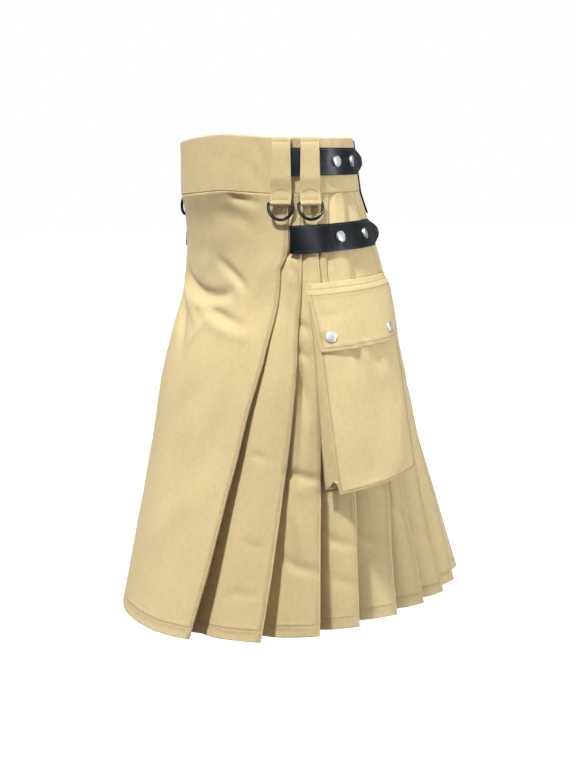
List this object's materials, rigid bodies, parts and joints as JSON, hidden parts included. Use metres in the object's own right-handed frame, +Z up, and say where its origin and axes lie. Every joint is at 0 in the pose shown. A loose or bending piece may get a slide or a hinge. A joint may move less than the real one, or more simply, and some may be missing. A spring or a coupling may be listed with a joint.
{
  "type": "utility kilt",
  "caption": "Wrap kilt of khaki cotton with knife pleats, bellows side pockets, leather straps with snaps, and D-rings hung from cloth loops.",
  "frame": {"origin": "middle of the waist opening, half way down the waistband at the sides", "axes": "+Z up, front faces -Y, +X is the wearer's left"},
  "size_m": [0.4556, 0.4602, 0.6215],
  "materials": {
    "khaki_twill": "light khaki cotton twill",
    "black_leather": "black, smooth, slight sheen",
    "brushed_snap": "brushed",
    "black_wire": "black, satin"
  },
  "bodies": {
    "kilt": {"waistband": "khaki_twill", "over_apron": "khaki_twill", "pleats_left": "khaki_twill", "pleats_back": "khaki_twill", "pleats_right": "khaki_twill", "under_apron": "khaki_twill", "strap_upper_left": "black_leather", "strap_lower_left": "black_leather", "loop_front_left": "khaki_twill", "loop_rear_left": "khaki_twill", "snap_upper_front_left": "brushed_snap", "snap_upper_rear_left": "brushed_snap", "snap_lower_front_left": "brushed_snap", "snap_lower_rear_left": "brushed_snap", "snap_flap_front_left": "brushed_snap", "snap_flap_rear_left": "brushed_snap", "back_loop_left": "black_leather", "pocket_back_left": "khaki_twill", "pocket_face_left": "khaki_twill", "pocket_gusset_left": "khaki_twill", "pocket_flap_left": "khaki_twill", "strap_upper_right": "black_leather", "strap_lower_right": "black_leather", "loop_front_right": "khaki_twill", "loop_rear_right": "khaki_twill", "snap_upper_front_right": "brushed_snap", "snap_upper_rear_right": "brushed_snap", "snap_lower_front_right": "brushed_snap", "snap_lower_rear_right": "brushed_snap", "snap_flap_front_right": "brushed_snap", "snap_flap_rear_right": "brushed_snap", "back_loop_right": "black_leather", "pocket_back_right": "khaki_twill", "pocket_face_right": "khaki_twill", "pocket_gusset_right": "khaki_twill", "pocket_flap_right": "khaki_twill"},
    "d_ring_front_left": {"ring_front_left": "black_wire"},
    "d_ring_rear_left": {"ring_rear_left": "black_wire"},
    "d_ring_front_right": {"ring_front_right": "black_wire"},
    "d_ring_rear_right": {"ring_rear_right": "black_wire"}
  },
  "joints": [
    {"name": "ring_front_left_swing", "type": "hinge", "parent": "kilt", "child": "d_ring_front_left", "pos_m": [0.13601, -0.05291, -0.0425], "axis": [-0.6166, -0.7873, 0], "range_deg": [0, 160]},
    {"name": "ring_rear_left_swing", "type": "hinge", "parent": "kilt", "child": "d_ring_rear_left", "pos_m": [0.1544, -0.02185, -0.04242], "axis": [-0.2699, -0.9629, 0], "range_deg": [0, 160]},
    {"name": "ring_front_right_swing", "type": "hinge", "parent": "kilt", "child": "d_ring_front_right", "pos_m": [-0.13607, -0.05295, -0.044], "axis": [-0.6166, 0.7873, 0], "range_deg": [0, 160]},
    {"name": "ring_rear_right_swing", "type": "hinge", "parent": "kilt", "child": "d_ring_rear_right", "pos_m": [-0.15084, -0.02125, -0.0426], "axis": [-0.2816, 0.9595, 0], "range_deg": [0, 160]}
  ]
}
